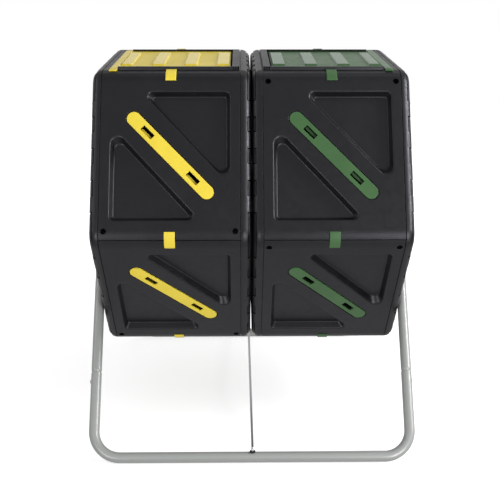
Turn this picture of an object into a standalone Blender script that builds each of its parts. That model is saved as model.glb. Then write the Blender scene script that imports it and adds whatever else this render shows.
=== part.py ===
"""Twin-chamber compost tumbler: two six-sided drums, each with a sliding door, turning on one axle
carried by a bent-tube stand.  Metres, +Z up.  X runs along the axle, -Y is the front, the origin is on
the floor under the middle of the axle.

Every drum piece is modelled around the axle: local x along the axle, local z out through the panel's
middle.  Turning a piece about x by a multiple of 60 degrees puts it on the next side of the drum."""

import math

import bmesh
import bpy
from mathutils import Matrix, Vector

# ---- driving dimensions -------------------------------------------------------------------------
GAP = 0.0003                    # between neighbouring pieces

AXLE_HEIGHT = 0.458
DRUM_TILT = math.radians(7.03)  # how far the drums rest turned, front edge down
HEX_RADIUS = 0.3195             # axle to a sharp corner of the six-sided outline
CORNER_RADIUS = 0.037           # rounding of those corners
CORNER_STEPS = 4                # facets in each rounded corner
DRUM_GAP = 0.003                # between the two drums
RIM_WIDTHS = {"inner": 0.020, "outer": 0.018}
RIM_CROWN = (0.0155, 0.0115)     # rounding of a rim towards its end face, along the axle and inwards
PANEL_LENGTH = 0.2555
PANEL_WALL = 0.003

RECESS_DEPTH = 0.0135
RECESS_CORNER = (0.1096, 0.1211)            # square corner of the triangular recess, from the panel's middle
RECESS_LEGS = (0.1641, 0.1792)
RECESS_RADII = (0.0087, 0.0092, 0.0142)     # square corner, then the ends of the two legs
RECESS_SLOPE = 0.006                        # how far the recess walls lean in

STRIP_LENGTH = 0.2185
STRIP_WIDTH = 0.026
STRIP_TURN = math.radians(-46)
STRIP_SINK = 0.0022             # depth of the pocket that the strip lies in
STRIP_RISE = 0.0006             # how far a vent strip stands above its panel
SLOT_LIP = 0.0008               # a strip's slots are this much smaller all round than the panel's
VENT_SLOT = (0.0275, 0.0105)
VENT_SPACING = 0.120

SCREW_PLACE = (0.1185, 0.141)   # panel screws, from the panel's middle
SCREW_HOLE_RADIUS = 0.0045
CLIP_WIDTH = 0.0195
CLIP_REACH = math.radians(24)
CLIP_THICKNESS = 0.0022

DOOR_FRONT, DOOR_BACK = -0.1375, 0.0985
DOOR_INNER, DOOR_OUTER = 0.0395, 0.2655     # along the axle, from the middle of the tumbler
DOOR_LIFT = 0.0004
DOOR_TOP = 0.0019
DOOR_RIB_TOP = 0.0048
DOOR_RIBS = 4
DOOR_RIB_PITCH = 0.0622
DOOR_RIB_WIDTH = 0.026
DOOR_RIB_SPAN = (-0.100, 0.066)
HEAD_WIDTH = 0.015
HEAD_TOP = 0.0034
HEAD_BACK = 0.108
HEAD_WRAP = math.radians(18)
RAIL_TOP = 0.006
RAIL_WALL = 0.0035
RAIL_LIP = 0.0030
MOUTH = (0.060, 0.238, -0.125, 0.088)       # opening under the door: along the axle, then across
MOUTH_RADIUS = 0.012
RAIL_PLAY = (0.001, 0.0015)     # from the door's front and back edges to the rails' uprights
RAIL_INSET = 0.001              # from the panel's end to the rails' ends
LIP_THICKNESS = 0.0016
DOOR_SCREW_Y = 0.125
HEAD_LAP = 0.003                # the door's plate runs this far into its wide end
RIB_MARGINS = (0.0008, 0.0012)  # from the door's inner end to the first rib, and from the last to the wide end
RIB_LEAN = 0.003
DRIP_SLOT = (0.0035, 0.004)     # width of the slot past the door's inner end, and its stop short of the rails

CAP_WEB = (0.009, 0.012)        # the end cap's web, from its outer face into the drum
CAP_SPIGOT = 0.014              # how far the spigot reaches under the panels
CAP_WALL = 0.003
CAP_RIB = (0.0035, 0.004)       # set-back and width of the ribs on the outer face
HUB_RADIUS = 0.026
HUB_TAPER = 0.002
HUB_END = 0.030
HUB_BORE = 0.0114
SPACER_RADIUS = 0.019
AXLE_RADIUS = 0.011
AXLE_WALL = 0.0015
PLUG_LENGTH = 0.025
BOLT_RADIUS = 0.005
BOLT_HEAD = (0.0098, 0.0064)    # radius over the corners, and height
WASHER = (0.0105, 0.0018)       # radius and thickness

TUBE_RADIUS = 0.010
TUBE_WALL = 0.0012
TUBE_SIDES = 12
RAIL_Y = 0.346                  # floor tubes in front of and behind the axle
CORNER_X = 0.2985               # where a leg would meet the floor
BEND_RADIUS = 0.052
LEG_TOP_X = 0.3135
JOINT_DISTANCE = 0.164          # floor corner to the leg joint
SWAGE_LENGTH = 0.036
JOINT_SCREW_RADIUS = 0.0021
PADDLE_THICKNESS = 0.0026
PADDLE_WIDTH = 0.0284
ROD_RADIUS = 0.0025
ROD_HEIGHT = 0.028
ROD_BEND = 0.005
ROD_FOOT = 0.0115               # height at which the rod's turned-down ends stop
GROMMET_RADII = (0.0029, 0.0038, 0.0056)    # bore, neck in the tube's hole, collar

# ---- sizes that follow --------------------------------------------------------------------------
APOTHEM = HEX_RADIUS * math.cos(math.pi / 6)
FILLET_CENTRE = HEX_RADIUS - CORNER_RADIUS / math.cos(math.pi / 6)
INNER_FACE = DRUM_GAP / 2
OUTER_FACE = INNER_FACE + sum(RIM_WIDTHS.values()) + PANEL_LENGTH
PANEL_MIDDLE = INNER_FACE + RIM_WIDTHS["inner"] + PANEL_LENGTH / 2
CUT_LOW, CUT_HIGH = APOTHEM - 0.02, APOTHEM + 0.01      # heights between which cutting shapes run
LAP = 0.001                     # overlap of shapes that are joined
RAIL_Z = TUBE_RADIUS * math.cos(math.pi / TUBE_SIDES)
SIDES = {"left": -1, "right": 1}


# ---- helpers ------------------------------------------------------------------------------------
def material(name, colour, roughness, metallic=0.0):
    made = bpy.data.materials.new(name)
    made.use_nodes = True
    shader = made.node_tree.nodes["Principled BSDF"]
    shader.inputs["Base Color"].default_value = (*colour, 1)
    shader.inputs["Roughness"].default_value = roughness
    shader.inputs["Metallic"].default_value = metallic
    made.diffuse_color = (*colour, 1)
    return made


def add_object(name, mesh, parent=None, place=None):
    made = bpy.data.objects.new(name, mesh)
    bpy.context.scene.collection.objects.link(made)
    if parent:
        made.parent = parent
    if place:
        made.matrix_local = place
    return made


def add_pivot(name, location, turn=0.0):
    pivot = bpy.data.objects.new(name, None)
    bpy.context.scene.collection.objects.link(pivot)
    pivot.location = location
    pivot.rotation_euler = (turn, 0, 0)
    return pivot


def finish_mesh(name, shape, finish=None):
    bmesh.ops.recalc_face_normals(shape, faces=shape.faces)
    mesh = bpy.data.meshes.new(name)
    shape.to_mesh(mesh)
    shape.free()
    mesh.set_sharp_from_angle(angle=math.radians(35))
    if finish:
        mesh.materials.append(finish)
    return mesh


def loft(name, loops, finish=None, closed=False):
    """Skin through loops of equal length: capped at both ends, or joined end to start if closed."""
    shape = bmesh.new()
    rings = [[shape.verts.new(point) for point in loop] for loop in loops]
    count = len(rings[0])
    for first, second in zip(rings, rings[1:] + rings[:1] if closed else rings[1:]):
        for i in range(count):
            j = (i + 1) % count
            shape.faces.new((first[i], first[j], second[j], second[i]))
    if not closed:
        shape.faces.new(rings[0])
        shape.faces.new(rings[-1])
    return finish_mesh(name, shape, finish)


def prism(name, outline, x0, x1, finish=None):
    """A (y, z) outline drawn out along x."""
    return loft(name, [[(x, y, z) for y, z in outline] for x in (x0, x1)], finish)


def column(name, outline, z0, z1, finish=None):
    """An (x, y) outline drawn out along z."""
    return loft(name, [[(x, y, z) for x, y in outline] for z in (z0, z1)], finish)


def box(name, low, high, finish=None):
    corners = [(low[1], low[2]), (high[1], low[2]), (high[1], high[2]), (low[1], high[2])]
    return prism(name, corners, low[0], high[0], finish)


def turned(name, profile, sides, finish, start, axis="X"):
    """A closed (distance, radius) profile turned around an axis through start."""
    loops = []
    for distance, radius in profile:
        ring = []
        for i in range(sides):
            angle = 2 * math.pi * i / sides
            across, along = radius * math.cos(angle), radius * math.sin(angle)
            local = (distance, across, along) if axis == "X" else (across, along, distance)
            ring.append(start + Vector(local))
        loops.append(ring)
    return loft(name, loops, finish, closed=True)


def cylinder(name, start, stop, radius, sides, finish=None):
    """A round bar between two points."""
    along = (stop - start).normalized()
    across = along.orthogonal().normalized()
    over = along.cross(across)
    loops = []
    for centre in (start, stop):
        angles = [2 * math.pi * (k + 0.5) / sides for k in range(sides)]
        loops.append([centre + radius * (across * math.cos(a) + over * math.sin(a)) for a in angles])
    return loft(name, loops, finish)


def moved(mesh, place):
    copy = mesh.copy()
    copy.transform(place)
    return copy


def carve(mesh, tools, operation):
    """The mesh with each tool mesh joined to it or cut from it."""
    target = add_object("carve_target", mesh)
    for index, tool_mesh in enumerate(tools):
        tool = add_object(f"carve_tool_{index}", tool_mesh)
        cut = target.modifiers.new("cut", "BOOLEAN")
        cut.operation = operation
        cut.solver = "EXACT"
        cut.object = tool
        bpy.context.view_layer.update()
        graph = bpy.context.evaluated_depsgraph_get()
        result = bpy.data.meshes.new_from_object(target.evaluated_get(graph))
        target.modifiers.clear()
        target.data = result
        bpy.data.objects.remove(tool)
    bpy.data.objects.remove(target)
    result.name = mesh.name
    result.set_sharp_from_angle(angle=math.radians(35))
    return result


def inset(corners, distance):
    """A convex anticlockwise polygon with every edge moved inwards."""
    made = []
    count = len(corners)
    for i, corner in enumerate(corners):
        before = (corner - corners[i - 1]).normalized()
        after = (corners[(i + 1) % count] - corner).normalized()
        normals = [Vector((-edge.y, edge.x)) for edge in (before, after)]
        bisector = (normals[0] + normals[1]).normalized()
        made.append(corner + bisector * distance / bisector.dot(normals[0]))
    return made


def rounded(corners, radii, steps):
    """A convex anticlockwise polygon with round corners, one radius for each."""
    points = []
    count = len(corners)
    for i, (corner, radius) in enumerate(zip(corners, radii)):
        before = (corner - corners[i - 1]).normalized()
        after = (corners[(i + 1) % count] - corner).normalized()
        turn = before.angle(after)
        centre = inset(corners, radius)[i]
        first = math.atan2(-before.x, before.y)
        angles = [first + turn * k / steps for k in range(steps + 1)]
        points += [centre + radius * Vector((math.cos(angle), math.sin(angle))) for angle in angles]
    return points


def stadium(length, width, steps, turn=0.0):
    """A slot outline with round ends, its long axis turned from x."""
    points = []
    for end in (1, -1):
        for k in range(steps + 1):
            angle = -math.pi / 2 + math.pi * k / steps
            points.append(Vector(((length - width) / 2 + width / 2 * math.cos(angle),
                                  width / 2 * math.sin(angle))) * end)
    turner = Matrix.Rotation(turn, 2)
    return [turner @ point for point in points]


def hexagon(depth):
    """The drum's outline as (y, z) points, moved in by depth."""
    points = []
    for side in range(6):
        middle = math.radians(60 * side + 30)
        for k in range(CORNER_STEPS + 1):
            angle = middle - math.pi / 6 + math.pi / 3 * k / CORNER_STEPS
            points.append((FILLET_CENTRE * math.sin(middle) + (CORNER_RADIUS - depth) * math.sin(angle),
                           FILLET_CENTRE * math.cos(middle) + (CORNER_RADIUS - depth) * math.cos(angle)))
    return points


def hub_ring(radius):
    """A circle with as many evenly spaced (y, z) points as the outline has."""
    count = 6 * (CORNER_STEPS + 1)
    first = math.pi / 6 - 2 * math.pi * (CORNER_STEPS / 2) / count
    angles = [first + 2 * math.pi * k / count for k in range(count)]
    return [(radius * math.sin(angle), radius * math.cos(angle)) for angle in angles]


def side_turn(side):
    return Matrix.Rotation(math.radians(60 * side), 4, "X")


def edge_arc(reach, height, end, steps):
    """Points (y, z) that follow the drum's surface round one edge of a panel, a height above it."""
    centre = (end * FILLET_CENTRE / 2, FILLET_CENTRE * math.cos(math.pi / 6))
    radius = CORNER_RADIUS + height
    return [(centre[0] + end * radius * math.sin(reach * k / steps),
             centre[1] + radius * math.cos(reach * k / steps)) for k in range(steps + 1)]


# ---- drum pieces --------------------------------------------------------------------------------
def panel_shell(finish):
    """A panel's plain sheet, curled over half of the corner at both edges."""
    reach = math.radians(30) - math.asin(GAP / 2 / (CORNER_RADIUS - PANEL_WALL))
    steps = CORNER_STEPS // 2
    outer = edge_arc(reach, 0, -1, steps)[::-1] + edge_arc(reach, 0, 1, steps)
    inner = edge_arc(reach, -PANEL_WALL, -1, steps)[::-1] + edge_arc(reach, -PANEL_WALL, 1, steps)
    return prism("panel_shell", outer + inner[::-1], -PANEL_LENGTH / 2, PANEL_LENGTH / 2, finish)


def recess_tool(name, top, bottom, spread):
    """A tapering triangular plug.  Spread widens it all round, for the wall behind the recess."""
    x, y = RECESS_CORNER
    corners = [Vector((x, y)), Vector((x - RECESS_LEGS[0], y)), Vector((x, y - RECESS_LEGS[1]))]
    loops = []
    for height, depth in ((top, -spread), (APOTHEM - spread, -spread), (bottom, RECESS_SLOPE - spread)):
        if loops and abs(loops[-1][0].z - height) < GAP:
            continue
        outline = rounded(inset(corners, depth), [radius - depth / 2 for radius in RECESS_RADII], 2)
        loops.append([Vector((*point, height)) for point in outline])
    return loft(name, loops)


def panel_screw_places():
    return [Vector((end * SCREW_PLACE[0], -SCREW_PLACE[1])) for end in (-1, 1)]


def screw_hole_tool(place):
    hole = [place + SCREW_HOLE_RADIUS * Vector((math.cos(a), math.sin(a)))
            for a in (math.pi / 4 * k + math.pi / 8 for k in range(8))]
    return column("screw_hole", hole, CUT_LOW, CUT_HIGH)


def vent_slots(name, z0, z1, grow=0.0):
    along = Vector((math.cos(STRIP_TURN), math.sin(STRIP_TURN)))
    across = Vector((-along.y, along.x))
    slots = []
    for end in (-1, 1):
        middle = along * end * VENT_SPACING / 2
        half = along * (VENT_SLOT[0] / 2 + grow), across * (VENT_SLOT[1] / 2 + grow)
        corners = [middle + a * half[0] + b * half[1] for a, b in ((-1, -1), (1, -1), (1, 1), (-1, 1))]
        slots.append(column(name, corners, z0, z1))
    return slots


def side_panel(finish):
    """A drum side: two triangular recesses either side of a slanting pocket for the vent strip."""
    half_turn = Matrix.Rotation(math.pi, 4, "Z")
    backing = APOTHEM - PANEL_WALL
    floor = APOTHEM - RECESS_DEPTH
    boss = recess_tool("recess_back", backing + LAP, floor - PANEL_WALL, PANEL_WALL * 0.8)
    strip_back = column("strip_back",
                        stadium(STRIP_LENGTH + 2 * PANEL_WALL, STRIP_WIDTH + 2 * PANEL_WALL, 4, STRIP_TURN),
                        backing - STRIP_SINK, backing + LAP)
    mesh = carve(panel_shell(finish), [boss, moved(boss, half_turn), strip_back], "UNION")
    recess = recess_tool("recess", CUT_HIGH, floor, 0.0)
    pocket = column("pocket", stadium(STRIP_LENGTH + 2 * GAP, STRIP_WIDTH + 2 * GAP, 4, STRIP_TURN),
                    APOTHEM - STRIP_SINK, CUT_HIGH)
    tools = [recess, moved(recess, half_turn), pocket]
    tools += vent_slots("vent", CUT_LOW, CUT_HIGH)
    tools += [screw_hole_tool(place) for place in panel_screw_places()]
    mesh = carve(mesh, tools, "DIFFERENCE")
    mesh.name = "side_panel"
    return mesh


def vent_strip(finish):
    plate = column("vent_strip", stadium(STRIP_LENGTH, STRIP_WIDTH, 4, STRIP_TURN),
                   APOTHEM - STRIP_SINK + GAP, APOTHEM + STRIP_RISE, finish)
    return carve(plate, vent_slots("vent", CUT_LOW, CUT_HIGH, -SLOT_LIP), "DIFFERENCE")


def rail_profile(end, wall_inside):
    """An upright with a lip that reaches back over the door's edge."""
    wall = wall_inside + end * RAIL_WALL
    lip = wall_inside - end * RAIL_LIP
    foot = APOTHEM - PANEL_WALL + LAP / 2
    top = APOTHEM + RAIL_TOP
    under_lip = top - LIP_THICKNESS
    return [(wall, foot), (wall, top), (lip, top), (lip, under_lip), (wall_inside, under_lip), (wall_inside, foot)]


def door_panel(side, finish):
    """The drum side with the mouth, two guide rails along it, and a stop bar and a drip slot at the
    door's inner end."""
    slot_x = (side * (DOOR_INNER - DRIP_SLOT[0] - PANEL_MIDDLE), side * (DOOR_INNER - PANEL_MIDDLE))
    bar_x = (side * (RAIL_INSET - PANEL_LENGTH / 2), slot_x[0])
    rails = [box("stop_bar", (min(bar_x), DOOR_FRONT - 2 * RAIL_PLAY[0], APOTHEM - PANEL_WALL + LAP / 2),
                 (max(bar_x), DOOR_BACK + 2 * RAIL_PLAY[0], APOTHEM + RAIL_TOP))]
    for end, inside in ((-1, DOOR_FRONT - RAIL_PLAY[0]), (1, DOOR_BACK + RAIL_PLAY[1])):
        start = RAIL_INSET - PANEL_LENGTH / 2
        stop = DOOR_OUTER - HEAD_WIDTH - RAIL_INSET - PANEL_MIDDLE
        rails.append(prism("rail", rail_profile(end, inside), side * start, side * stop))
    mesh = carve(panel_shell(finish), rails, "UNION")
    mouth = [Vector((side * (x - PANEL_MIDDLE), y)) for x, y in
             ((MOUTH[0], MOUTH[2]), (MOUTH[1], MOUTH[2]), (MOUTH[1], MOUTH[3]), (MOUTH[0], MOUTH[3]))]
    outline = rounded(mouth if side > 0 else mouth[::-1], [MOUTH_RADIUS] * 4, 3)
    slot = box("slot", (min(slot_x), DOOR_FRONT + DRIP_SLOT[1], CUT_LOW),
               (max(slot_x), DOOR_BACK - DRIP_SLOT[1], APOTHEM + 2 * LAP))
    tools = [column("mouth", outline, CUT_LOW, CUT_HIGH), slot]
    for end in (-1, 1):
        tools.append(screw_hole_tool(Vector((end * SCREW_PLACE[0], DOOR_SCREW_Y))))
    mesh = carve(mesh, tools, "DIFFERENCE")
    mesh.name = "door_panel"
    return mesh


def door_head(side):
    """The wide outer end of the door, wrapped over the front corner for a grip."""
    outline = [(HEAD_BACK, APOTHEM + HEAD_TOP)] + edge_arc(HEAD_WRAP, HEAD_TOP, -1, 3)
    outline += edge_arc(HEAD_WRAP, DOOR_LIFT + GAP, -1, 3)[::-1] + [(HEAD_BACK, APOTHEM + DOOR_LIFT + GAP)]
    return prism("door_head", outline, side * (DOOR_OUTER - HEAD_WIDTH), side * DOOR_OUTER)


def door(side, finish):
    """A thin ribbed plate that slides under the rails."""
    low = (DOOR_INNER + GAP, DOOR_FRONT, APOTHEM + DOOR_LIFT)
    high = (DOOR_OUTER - HEAD_WIDTH + HEAD_LAP, DOOR_BACK, APOTHEM + DOOR_TOP)
    xs = sorted((side * low[0], side * high[0]))
    plate = box("door", (xs[0], *low[1:]), (xs[1], *high[1:]), finish)
    additions = [door_head(side)]
    for index in range(DOOR_RIBS):
        inner = DOOR_INNER + RIB_MARGINS[0] + DOOR_RIB_PITCH * index
        outer = min(inner + DOOR_RIB_WIDTH, DOOR_OUTER - HEAD_WIDTH - RIB_MARGINS[1])
        loops = []
        for height, lean in ((APOTHEM + DOOR_TOP - LAP / 2, 0), (APOTHEM + DOOR_RIB_TOP, RIB_LEAN)):
            x0, x1 = inner + lean / 2, outer - lean / 2
            y0, y1 = DOOR_RIB_SPAN[0] + lean, DOOR_RIB_SPAN[1] - lean
            loops.append([(side * x, y, height) for x, y in ((x0, y0), (x1, y0), (x1, y1), (x0, y1))])
        additions.append(loft("door_rib", loops))
    return carve(plate, additions, "UNION")


def end_cap(rim_width, finish):
    """A drum end: rim band, spigot under the panels, web and bored hub.  Local x points into the drum."""
    shoulder = rim_width - GAP
    spigot_end = rim_width + CAP_SPIGOT
    spigot = PANEL_WALL + GAP
    web_outer, web_inner = CAP_WEB
    dish = RIM_CROWN[1] + CAP_WALL
    profile = [(RIM_CROWN[0] * (1 - math.cos(angle)), RIM_CROWN[1] * (1 - math.sin(angle)))
               for angle in (math.pi / 6 * k for k in range(4))]
    profile += [(shoulder, 0.0), (shoulder, spigot), (spigot_end, spigot), (spigot_end, spigot + CAP_WALL),
                (web_inner, spigot + CAP_WALL)]
    hub = [(web_inner, HUB_RADIUS), (HUB_END, HUB_RADIUS - HUB_TAPER), (HUB_END, HUB_BORE), (0.0, HUB_BORE),
           (0.0, HUB_RADIUS - HUB_TAPER), (web_outer, HUB_RADIUS)]
    face = [(web_outer, dish), (0.0, dish)]
    loops = [[(x, y, z) for y, z in hexagon(depth)] for x, depth in profile]
    for x, radius in hub:
        loops.append([(x, y, z) for y, z in hub_ring(radius)])
    loops += [[(x, y, z) for y, z in hexagon(depth)] for x, depth in face]
    cap = loft("end_cap", loops, finish, closed=True)
    rib_start, rib_width = CAP_RIB
    rib = box("rib", (rib_start, -rib_width / 2, HUB_RADIUS - 2 * HUB_TAPER),
              (web_outer + CAP_WALL / 3, rib_width / 2, APOTHEM - RIM_CROWN[1]))
    ribs = [moved(rib, side_turn(side)) for side in range(6)]
    return carve(cap, ribs, "UNION")


def corner_clip(finish):
    """A snap clip that lies over the seam between two panels, modelled over the corner at +y."""
    middle = math.radians(30)
    steps = 4
    outline = []
    for height, order in ((GAP, 1), (GAP + CLIP_THICKNESS, -1)):
        radius = CORNER_RADIUS + height
        for k in range(steps + 1):
            angle = middle + order * CLIP_REACH * (2 * k / steps - 1)
            outline.append((FILLET_CENTRE * math.sin(middle) + radius * math.sin(angle),
                            FILLET_CENTRE * math.cos(middle) + radius * math.cos(angle)))
    return prism("corner_clip", outline, -CLIP_WIDTH / 2, CLIP_WIDTH / 2, finish)


# ---- stand pieces -------------------------------------------------------------------------------
def leg_line(side, end):
    """Floor corner and axle end of a leg's centre line."""
    return (Vector((side * CORNER_X, end * RAIL_Y, RAIL_Z)), Vector((side * LEG_TOP_X, 0, AXLE_HEIGHT)))


def sweep_rings(path, run, across, radius, sides):
    """Rings along a path that bends in one plane.  Run is the direction of its straight middle, where
    a flat of each ring faces across."""
    over = run.cross(across)
    angles = [2 * math.pi * (k + 0.5) / sides for k in range(sides)]
    spokes = [radius * (across * math.cos(angle) + over * math.sin(angle)) for angle in angles]
    rings = []
    for i, point in enumerate(path):
        ahead = path[min(i + 1, len(path) - 1)] - path[max(i - 1, 0)]
        turn = run.rotation_difference(ahead)
        rings.append([point + turn @ spoke for spoke in spokes])
    return rings


def base_path(end):
    """The floor tube: up-turned arm, bend, straight run, bend, up-turned arm."""
    path = []
    for side in (-1, 1):
        corner, top = leg_line(side, end)
        arm = (top - corner).normalized()
        run = Vector((-side, 0, 0))
        turn = math.pi - arm.angle(run)
        tangent = BEND_RADIUS * math.tan(turn / 2)
        centre = corner + (arm + run).normalized() * BEND_RADIUS / math.cos(turn / 2)
        start = corner + arm * tangent
        spoke = start - centre
        axis = spoke.cross(-arm).normalized()
        steps = 6
        bend = [centre + Matrix.Rotation(turn * k / steps, 3, axis) @ spoke for k in range(steps + 1)]
        half = [corner + arm * JOINT_DISTANCE] + bend
        path += half if side < 0 else half[::-1]
    return path


def screw_place(side, end):
    corner, top = leg_line(side, end)
    return corner + (top - corner).normalized() * (JOINT_DISTANCE - SWAGE_LENGTH / 2)


def joint_screw_tool(side, end):
    centre = screw_place(side, end)
    outside = centre + Vector((side * 1.4 * TUBE_RADIUS, 0, 0))
    return cylinder("joint_hole", centre, outside, JOINT_SCREW_RADIUS, 8)


def base_tube(name, end, finish):
    path = base_path(end)
    run, across = Vector((1, 0, 0)), Vector((0, 1, 0))
    outer = sweep_rings(path, run, across, TUBE_RADIUS, TUBE_SIDES)
    inner = sweep_rings(path, run, across, TUBE_RADIUS - TUBE_WALL, TUBE_SIDES)
    mesh = loft(name, outer + inner[::-1], finish, closed=True)
    middle = Vector((0, end * RAIL_Y, RAIL_Z))
    above = middle + Vector((0, 0, 2 * TUBE_RADIUS))
    rod_hole = cylinder("rod_hole", middle, above, GROMMET_RADII[1] + GAP, 12)
    tools = [rod_hole] + [joint_screw_tool(side, end) for side in (-1, 1)]
    return carve(mesh, tools, "DIFFERENCE")


def leg(name, side, end, finish):
    """Upper leg: necked foot that plugs into the floor tube, flattened drilled top on the axle bolt."""
    corner, top = leg_line(side, end)
    along = (top - corner).normalized()
    length = (top - corner).length
    flat = Vector((0, along.z, -along.y)).normalized()
    outward = side * flat.cross(along)
    paddle_x = LEG_TOP_X + (PADDLE_THICKNESS + GAP) * (0.5 + (0 if end < 0 else 1))
    foot = JOINT_DISTANCE - SWAGE_LENGTH
    neck = TUBE_RADIUS - TUBE_WALL - GAP
    half = PADDLE_THICKNESS / 2
    wide = PADDLE_WIDTH / 2
    # distance from the floor corner, half width, half thickness, how far moved over to the bolt's plane
    stations = [
        (foot, neck, neck, 0), (JOINT_DISTANCE + GAP, neck, neck, 0),
        (JOINT_DISTANCE + 0.003, TUBE_RADIUS, TUBE_RADIUS, 0),
        (length - 0.062, TUBE_RADIUS, TUBE_RADIUS, 0), (length - 0.045, 0.83 * wide, 0.7 * TUBE_RADIUS, 0.4),
        (length - 0.028, wide, half, 1), (length + 0.006, wide, half, 1),
        (length + 0.0115, 0.7 * wide, half, 1), (length + 0.0140, 0.3 * wide, half, 1),
    ]

    def ring(distance, half_width, half_thickness, shift):
        centre = corner + along * distance
        centre.x += (side * paddle_x - centre.x) * shift
        through = Vector((side, 0, 0)) if shift == 1 else outward
        angles = [2 * math.pi * (k + 0.5) / TUBE_SIDES for k in range(TUBE_SIDES)]
        return [centre + flat * half_width * math.cos(angle) + through * half_thickness * math.sin(angle)
                for angle in angles]

    outer = [ring(*station) for station in stations]
    inside = [(foot, neck - TUBE_WALL), (JOINT_DISTANCE + 0.003, neck - TUBE_WALL),
              (JOINT_DISTANCE + 0.006, TUBE_RADIUS - TUBE_WALL), (length - 0.064, TUBE_RADIUS - TUBE_WALL)]
    inner = [ring(distance, radius, radius, 0) for distance, radius in inside]
    shape = bmesh.new()
    rings = [[shape.verts.new(point) for point in loop] for loop in inner[::-1] + outer]
    for first, second in zip(rings, rings[1:]):
        for i in range(TUBE_SIDES):
            j = (i + 1) % TUBE_SIDES
            shape.faces.new((first[i], first[j], second[j], second[i]))
    shape.faces.new(rings[0])
    shape.faces.new(rings[-1])
    mesh = finish_mesh(name, shape, finish)
    centre = Vector((side * paddle_x, 0, AXLE_HEIGHT))
    reach = Vector((0.02, 0, 0))
    bolt = cylinder("bolt_hole", centre - reach, centre + reach, BOLT_RADIUS + 2 * GAP, 12)
    return carve(mesh, [bolt, joint_screw_tool(side, end)], "DIFFERENCE")


def tie_rod(finish):
    """A round rod from rail to rail, its ends turned down through the rubber grommets."""
    path = []
    for end in (-1, 1):
        centre = Vector((0, end * (RAIL_Y - ROD_BEND), ROD_HEIGHT - ROD_BEND))
        angles = [math.pi / 8 * k for k in range(5)]
        arc = [centre + ROD_BEND * Vector((0, end * math.cos(angle), math.sin(angle))) for angle in angles]
        half = [Vector((0, end * RAIL_Y, ROD_FOOT))] + arc
        path += half if end < 0 else half[::-1]
    rings = sweep_rings(path, Vector((0, 1, 0)), Vector((1, 0, 0)), ROD_RADIUS, 8)
    return loft("tie_rod", rings, finish)


def rod_grommet(end, finish):
    """Rubber ring in the hole where the rod enters a rail."""
    bore, neck, collar = GROMMET_RADII
    seat = RAIL_Z + TUBE_RADIUS + GAP
    inside, brim, top = seat - 0.004, seat + 0.0016, seat + 0.0026
    profile = [(inside, bore), (inside, neck), (seat, neck), (seat, collar), (brim, collar),
               (top, collar - 0.001), (top, bore)]
    return turned("grommet", profile, 12, finish, Vector((0, end * RAIL_Y, 0)), axis="Z")


def axle_bolt(side, seat, inner_end, finish):
    """Hexagon-headed bolt; every section has twelve points, so the head's corners blend to the shank."""
    corner, head = BOLT_HEAD
    loops = []
    for x, radius, hexagonal in ((inner_end, BOLT_RADIUS, False), (seat, BOLT_RADIUS, False),
                                 (seat, corner, True), (seat + head - 0.001, corner, True),
                                 (seat + head, 0.87 * corner, False)):
        loop = []
        for k in range(12):
            angle = 2 * math.pi * k / 12
            flat = math.cos(math.pi / 6) / math.cos(angle % (math.pi / 3) - math.pi / 6)
            reach = radius * (flat if hexagonal else 1)
            loop.append((side * x, reach * math.cos(angle), AXLE_HEIGHT + reach * math.sin(angle)))
        loops.append(loop)
    return loft("axle_bolt", loops, finish)


def build_axle(steel, zinc, plastic):
    """The axle tube, what closes its ends, and the spacers that keep the drums apart."""
    centre = Vector((0, 0, AXLE_HEIGHT))
    end_x = LEG_TOP_X - 0.001
    washer_x = LEG_TOP_X + 2 * (PADDLE_THICKNESS + GAP) + GAP
    bolt_x = washer_x + WASHER[1] + GAP
    sleeve_radius = AXLE_RADIUS + GAP

    def add_ring(name, start, stop, bore, radius, sides, finish):
        profile = [(start, bore), (stop, bore), (stop, radius), (start, radius)]
        add_object(name, turned(name, profile, sides, finish, centre))

    add_ring("axle_tube", -end_x, end_x, AXLE_RADIUS - AXLE_WALL, AXLE_RADIUS, 20, steel)
    add_ring("centre_spacer", GAP - INNER_FACE, INNER_FACE - GAP, sleeve_radius, SPACER_RADIUS, 20, plastic)
    for label, side in SIDES.items():
        add_ring(f"{label}_spacer", side * (OUTER_FACE + GAP), side * (LEG_TOP_X - GAP), sleeve_radius,
                 SPACER_RADIUS, 20, plastic)
        add_ring(f"{label}_axle_plug", side * (end_x - PLUG_LENGTH), side * end_x, BOLT_RADIUS + GAP,
                 AXLE_RADIUS - AXLE_WALL - GAP, 12, zinc)
        add_ring(f"{label}_axle_washer", side * washer_x, side * (washer_x + WASHER[1]), BOLT_RADIUS + GAP,
                 WASHER[0], 12, zinc)
        add_object(f"{label}_axle_bolt", axle_bolt(side, bolt_x, end_x - PLUG_LENGTH + 0.001, zinc))


# ---- assembly -----------------------------------------------------------------------------------
def build_drum(label, side, shared, black, accent):
    pivot = add_pivot(f"{label}_drum_pivot", (0, 0, AXLE_HEIGHT), DRUM_TILT)
    half_turn = Matrix.Rotation(math.pi, 4, "Z")
    for name, x, flipped in (("inner", INNER_FACE, side < 0), ("outer", OUTER_FACE, side > 0)):
        place = Matrix.Translation((side * x, 0, 0)) @ (half_turn if flipped else Matrix.Identity(4))
        add_object(f"{label}_{name}_end_cap", shared[name], pivot, place)
    middle = Matrix.Translation((side * PANEL_MIDDLE, 0, 0))
    facing = Matrix.Identity(4) if side < 0 else half_turn
    strip = vent_strip(accent)
    clip = corner_clip(accent)
    for number in range(1, 6):
        place = side_turn(number) @ middle @ facing
        add_object(f"{label}_side_panel_{number}", shared["side_panel"], pivot, place)
        add_object(f"{label}_vent_strip_{number}", strip, pivot, place)
    for number in range(6):
        add_object(f"{label}_corner_clip_{number + 1}", clip, pivot, side_turn(number) @ middle)
    add_object(f"{label}_door_panel", door_panel(side, black), pivot, middle)
    add_object(f"{label}_door", door(side, accent), pivot)


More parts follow.
